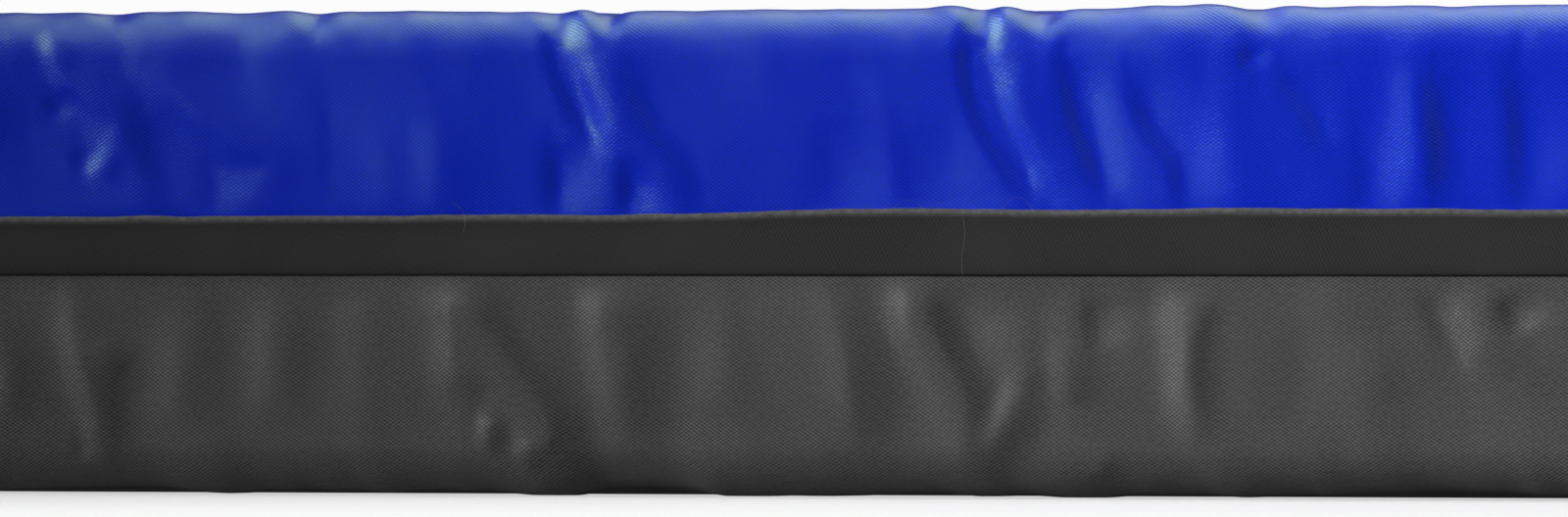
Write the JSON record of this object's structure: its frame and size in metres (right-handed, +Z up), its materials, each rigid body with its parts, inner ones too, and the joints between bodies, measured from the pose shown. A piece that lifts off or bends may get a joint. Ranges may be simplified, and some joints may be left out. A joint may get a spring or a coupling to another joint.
{
  "type": "tumbling mat",
  "caption": "Foam-cored tumbling mat in a two-part blue and charcoal cloth cover with a flap over its zip, webbing handles, vent eyelets and joining strips.",
  "frame": {"origin": "middle of the underside, where the mat lies on the floor", "axes": "+X along the length, with the zipped long wall at -Y, +Z up"},
  "size_m": [2.0038, 1.045, 0.15],
  "materials": {
    "blue_cloth": "satin coated plain weave",
    "charcoal_cloth": "satin coated plain weave",
    "black_cloth": "satin coated plain weave, folded double",
    "firm_foam": "closed-cell foam",
    "soft_foam": "open-cell foam",
    "zip_tape": "woven tape",
    "zip_coil": "nylon",
    "slider_metal": "black enamel",
    "bare_metal": "nickel plated",
    "webbing": "polypropylene webbing",
    "grip_sleeve": "matt ribbed sleeve",
    "hook_tape": "stiff hooks",
    "loop_tape": "brushed loops"
  },
  "bodies": {
    "mat": {"core_top_layer": "firm_foam", "core_middle_block": "soft_foam", "core_bottom_layer": "firm_foam", "top_cover": "blue_cloth", "bottom_cover": "charcoal_cloth", "back_seam_strip": "black_cloth", "upper_zip_tape": "zip_tape", "lower_zip_tape": "zip_tape", "upper_zip_coil": "zip_coil", "lower_zip_coil": "zip_coil", "zip_end_stops": "bare_metal", "front_left_corner_flap": "black_cloth", "front_right_corner_flap": "black_cloth", "front_left_handle_anchors": "webbing", "front_right_handle_anchors": "webbing", "back_left_handle_anchors": "webbing", "back_right_handle_anchors": "webbing", "left_vent_eyelets": "bare_metal", "right_vent_eyelets": "bare_metal", "left_hook_strip": "hook_tape", "right_loop_strip": "loop_tape"},
    "front_flap": {"front_flap": "black_cloth"},
    "left_flap": {"left_flap": "black_cloth"},
    "right_flap": {"right_flap": "black_cloth"},
    "left_slider": {"left_slider_body": "slider_metal"},
    "left_pull": {"left_pull_tab": "slider_metal"},
    "right_slider": {"right_slider_body": "slider_metal"},
    "right_pull": {"right_pull_tab": "slider_metal"},
    "front_left_handle": {"front_left_handle_webbing": "webbing", "front_left_handle_grip": "grip_sleeve"},
    "front_right_handle": {"front_right_handle_webbing": "webbing", "front_right_handle_grip": "grip_sleeve"},
    "back_left_handle": {"back_left_handle_webbing": "webbing", "back_left_handle_grip": "grip_sleeve"},
    "back_right_handle": {"back_right_handle_webbing": "webbing", "back_right_handle_grip": "grip_sleeve"}
  },
  "joints": [
    {"name": "front_flap_lift", "type": "hinge", "parent": "mat", "child": "front_flap", "pos_m": [0, -0.5019, 0.0684], "axis": [-1, 0, 0], "range_deg": [-110, 0], "stiffness_Nm_per_rad": 0.01, "springref_deg": 17.19},
    {"name": "left_flap_lift", "type": "hinge", "parent": "mat", "child": "left_flap", "pos_m": [-1.0019, 0, 0.0684], "axis": [0, 1, 0], "range_deg": [-110, 0], "stiffness_Nm_per_rad": 0.01, "springref_deg": 17.19},
    {"name": "right_flap_lift", "type": "hinge", "parent": "mat", "child": "right_flap", "pos_m": [1.0019, 0, 0.0684], "axis": [0, -1, 0], "range_deg": [-110, 0], "stiffness_Nm_per_rad": 0.01, "springref_deg": 17.19},
    {"name": "left_zip_run", "type": "slide", "parent": "mat", "child": "left_slider", "axis": [0, -1, 0], "range_m": [0, 0.85]},
    {"name": "left_pull_swing", "type": "hinge", "parent": "left_slider", "child": "left_pull", "pos_m": [-0.9979, 0.425, 0.0762], "axis": [0, 0, -1], "range_deg": [0, 180]},
    {"name": "right_zip_run", "type": "slide", "parent": "mat", "child": "right_slider", "axis": [0, -1, 0], "range_m": [0, 0.85]},
    {"name": "right_pull_swing", "type": "hinge", "parent": "right_slider", "child": "right_pull", "pos_m": [0.9979, 0.425, 0.0762], "axis": [0, 0, 1], "range_deg": [0, 180]},
    {"name": "front_left_handle_swing", "type": "hinge", "parent": "mat", "child": "front_left_handle", "pos_m": [-0.62, -0.5042, 0.065], "axis": [-1, 0, 0], "range_deg": [0, 150]},
    {"name": "front_right_handle_swing", "type": "hinge", "parent": "mat", "child": "front_right_handle", "pos_m": [0.62, -0.5042, 0.065], "axis": [-1, 0, 0], "range_deg": [0, 150]},
    {"name": "back_left_handle_swing", "type": "hinge", "parent": "mat", "child": "back_left_handle", "pos_m": [-0.62, 0.5042, 0.065], "axis": [1, 0, 0], "range_deg": [0, 150]},
    {"name": "back_right_handle_swing", "type": "hinge", "parent": "mat", "child": "back_right_handle", "pos_m": [0.62, 0.5042, 0.065], "axis": [1, 0, 0], "range_deg": [0, 150]}
  ]
}
